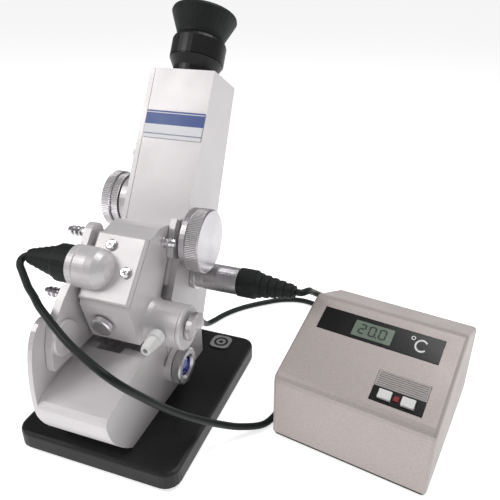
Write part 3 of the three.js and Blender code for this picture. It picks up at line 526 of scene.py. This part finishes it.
def make_screws(mats):
    """Painted shade of the cross recesses of the two cover screws and of the arm screw: dark crosses set on
    the screw heads.
    """
    down = Vector((-26.5, -27.9)).normalized()
    out = Vector((down.y, -down.x))

    def on_lid(x0, u0, turn):
        def place(a, b, c):
            p, q = a * math.cos(turn) - b * math.sin(turn), a * math.sin(turn) + b * math.cos(turn)
            u, w = u0 + q, 0.3 + c
            return inst(x0 + p, -11.6 + down.x * u + out.x * w, 123.2 + down.y * u + out.y * w)

        return place

    # dark cross on each cover screw head: painted shade of its recess
    cross = [(-1.5, 1.5, -0.28, 0.28, 1.75, 2.03), (-0.28, 0.28, -1.5, 1.5, 1.75, 2.03)]
    boxes("cover_screw_1_recess_shade", cross, on_lid(-2.7, 7.2, 0.5), mats["ink_and_shade"], "prism_housing")
    boxes("cover_screw_2_recess_shade", cross, on_lid(10.5, 20.8, 1.1), mats["ink_and_shade"], "prism_housing")
    # thin dark cross on the arm screw head: painted shade of its recess
    slit = [(0, 0.05, -1.4, 1.4, -0.25, 0.25), (0, 0.05, -0.25, 0.25, -1.4, 1.4)]

    def on_arm(a, b, c):
        return inst(-12.7 + a, -52 + b, 74.5 + c)

    boxes("arm_screw_recess_shade", slit, on_arm, mats["ink_and_shade"], "frame")


def make_badge(mats):
    """Ring and dot on the base badge."""
    vertices, faces = [], []
    centre, z = (29.5, 52.5), 14.65
    for inner, outer in ((3.4, 5.0), (0.0, 1.5)):
        n = len(vertices)
        steps = 32
        for i in range(steps):
            a = 2 * math.pi * i / steps
            for r in (inner, outer):
                vertices.append(inst(centre[0] + r * math.cos(a), centre[1] + r * math.sin(a), z))
        for i in range(steps):
            j = (i + 1) % steps
            faces.append((n + 2 * i, n + 2 * i + 1, n + 2 * j + 1, n + 2 * j))
    mesh_object("badge_mark", vertices, faces, mats["ink_and_shade"], "frame")


# ---- cords ----
def smooth_path(points, step=0.0015):
    """Centripetal Catmull-Rom line through the points, as points about one step apart."""
    pts = [points[0] * 2 - points[1]] + points + [points[-1] * 2 - points[-2]]
    line = []
    for i in range(1, len(pts) - 2):
        p0, p1, p2, p3 = pts[i - 1 : i + 3]
        t0 = 0.0
        t1 = t0 + (p1 - p0).length ** 0.5
        t2 = t1 + (p2 - p1).length ** 0.5
        t3 = t2 + (p3 - p2).length ** 0.5
        count = max(2, round((p2 - p1).length / step))
        for k in range(count):
            t = t1 + (t2 - t1) * k / count
            a1 = p0 * ((t1 - t) / (t1 - t0)) + p1 * ((t - t0) / (t1 - t0))
            a2 = p1 * ((t2 - t) / (t2 - t1)) + p2 * ((t - t1) / (t2 - t1))
            a3 = p2 * ((t3 - t) / (t3 - t2)) + p3 * ((t - t2) / (t3 - t2))
            b1 = a1 * ((t2 - t) / (t2 - t0)) + a2 * ((t - t0) / (t2 - t0))
            b2 = a2 * ((t3 - t) / (t3 - t1)) + a3 * ((t - t1) / (t3 - t1))
            line.append(b1 * ((t2 - t) / (t2 - t1)) + b2 * ((t - t1) / (t2 - t1)))
    line.append(points[-1].copy())
    return line


def make_cord(name, points, mats):
    line = smooth_path(points)
    data = bpy.data.curves.new(name + "_line", "CURVE")
    data.dimensions = "3D"
    data.bevel_depth = CORD / 2
    data.bevel_resolution = 5
    data.use_fill_caps = True
    spline = data.splines.new("POLY")
    spline.points.add(len(line) - 1)
    for point, place in zip(spline.points, line):
        point.co = (*place, 1)
    spline.use_smooth = True
    data.materials.append(mats["cordskin"])
    obj = bpy.data.objects.new(name + "_skin", data)
    bpy.context.scene.collection.objects.link(obj)
    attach(obj, "frame")
    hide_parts(name)
    length = sum((b - a).length for a, b in zip(line, line[1:]))
    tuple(line[0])


CORD = 0.0042
JACKS = (12, 28, 44)
JACK_Z = 20
JACK_END = 100.9 + 3.1
LEFT_TAIL = -49.2
RIGHT_TAIL = 87.6


def make_cords(mats):
    front = [
        inst(LEFT_TAIL, -28, 108.7), inst(LEFT_TAIL - 2.3, -28.3, 108.5), inst(-53.5, -30.4, 107),
        inst(-52.6, -33.1, 105.2), inst(-49.6, -35.6, 103.4), inst(-44.5, -39.7, 101.2),
        inst(-39, -44, 99.1), inst(-32.3, -48.4, 97.9), inst(-25, -53.8, 96.6), inst(-17.6, -58, 95),
        inst(-10, -62, 93),
        inst(0.8, -67, 89.8), inst(13, -71, 86), inst(25, -73.5, 81.6), inst(31.5, -71, 74.8),
        inst(36.5, -63.5, 63.6), inst(41, -54, 50.6), inst(46.5, -44, 38), inst(53, -33, 26),
        inst(60.5, -22, 15), inst(69.5, -12, 7), inst(80, -1, 2.6), met(-4.6, 16, 2.3), met(-4.6, 50, 2.3),
        met(-4.4, 90, 3), met(-2, 112, 8), met(5, 122, 14), met(11, 121, 18.6), met(JACKS[0], 112, JACK_Z),
        met(JACKS[0], 106, JACK_Z), met(JACKS[0], JACK_END, JACK_Z),
    ]
    right = [
        inst(RIGHT_TAIL, 33.3, 78.7), inst(RIGHT_TAIL + 3, 33.3, 78.7), inst(RIGHT_TAIL + 6, 40, 77),
        met(-4.4, 58, 69), met(-4, 72, 59), met(-3.8, 90, 46), met(0, 110, 32), met(10, 123, 24),
        met(21, 126, 20.8), met(27, 119, JACK_Z), met(JACKS[1], 110, JACK_Z),
        met(JACKS[1], JACK_END, JACK_Z),
    ]
    rear = [
        inst(8.5, 44.8, 26), inst(8.5, 50, 26), inst(7.5, 62, 23), inst(6, 72, 14), inst(5, 82, 5),
        inst(7, 91, 2.6), inst(12, 103, 2.3), inst(21, 116, 2.3), inst(37, 131, 2.3), inst(50, 140, 2.3),
        inst(66, 144, 2.3), met(-9, 139, 2.3), met(14, 139, 3), met(34, 137, 8), met(43, 128, 16),
        met(JACKS[2], 118, JACK_Z), met(JACKS[2], 110, JACK_Z), met(JACKS[2], JACK_END, JACK_Z),
    ]
    make_cord("front_cord", front, mats)
    make_cord("right_cord", right, mats)
    make_cord("rear_cord", rear, mats)


# ---- studio ----
def make_stage():
    mesh = bpy.data.meshes.new("floor")
    side = 6.0
    corners = [(-side, -side, 0), (side, -side, 0), (side, side, 0), (-side, side, 0)]
    mesh.from_pydata(corners, [], [(0, 1, 2, 3)])
    m, tree, bsdf = new_material("pale_floor")
    pale = ramp(tree, noise(tree, 12.0), [(0.3, (0.86, 0.86, 0.86)), (0.7, (0.89, 0.89, 0.89))])
    tree.links.new(pale, bsdf.inputs["Base Color"])
    bsdf.inputs["Roughness"].default_value = 0.7
    bsdf.inputs["Emission Color"].default_value = (1, 1, 1, 1)
    bsdf.inputs["Emission Strength"].default_value = 0.72
    mesh.materials.append(m)
    floor = bpy.data.objects.new("floor", mesh)
    bpy.context.scene.collection.objects.link(floor)
    world = bpy.data.worlds.new("studio")
    bpy.context.scene.world = world
    world.use_nodes = True
    back = world.node_tree.nodes["Background"]
    back.inputs["Color"].default_value = (1.0, 1.0, 1.0, 1)
    back.inputs["Strength"].default_value = 0.22
    for name, place, size, power, colour in (
        ("key", (-0.9, -0.6, 1.1), 0.7, 7.5, (1.0, 0.98, 0.97)),
        ("top", (0.25, 0.3, 1.0), 0.5, 4.6, (1.0, 1.0, 1.0)),
    ):
        data = bpy.data.lights.new(name, "AREA")
        data.size = size
        data.energy = power
        data.color = colour
        lamp = bpy.data.objects.new(name, data)
        lamp.location = place
        lamp.rotation_euler = (Vector((0, 0, 0.08)) - Vector(place)).to_track_quat("-Z", "Y").to_euler()
        bpy.context.scene.collection.objects.link(lamp)
    bpy.context.scene.view_settings.view_transform = "Standard"


make_camera()
materials = make_materials()
finish_nodes(materials)
make_cords(materials)
make_display(materials)
make_screws(materials)
make_badge(materials)
make_stage()
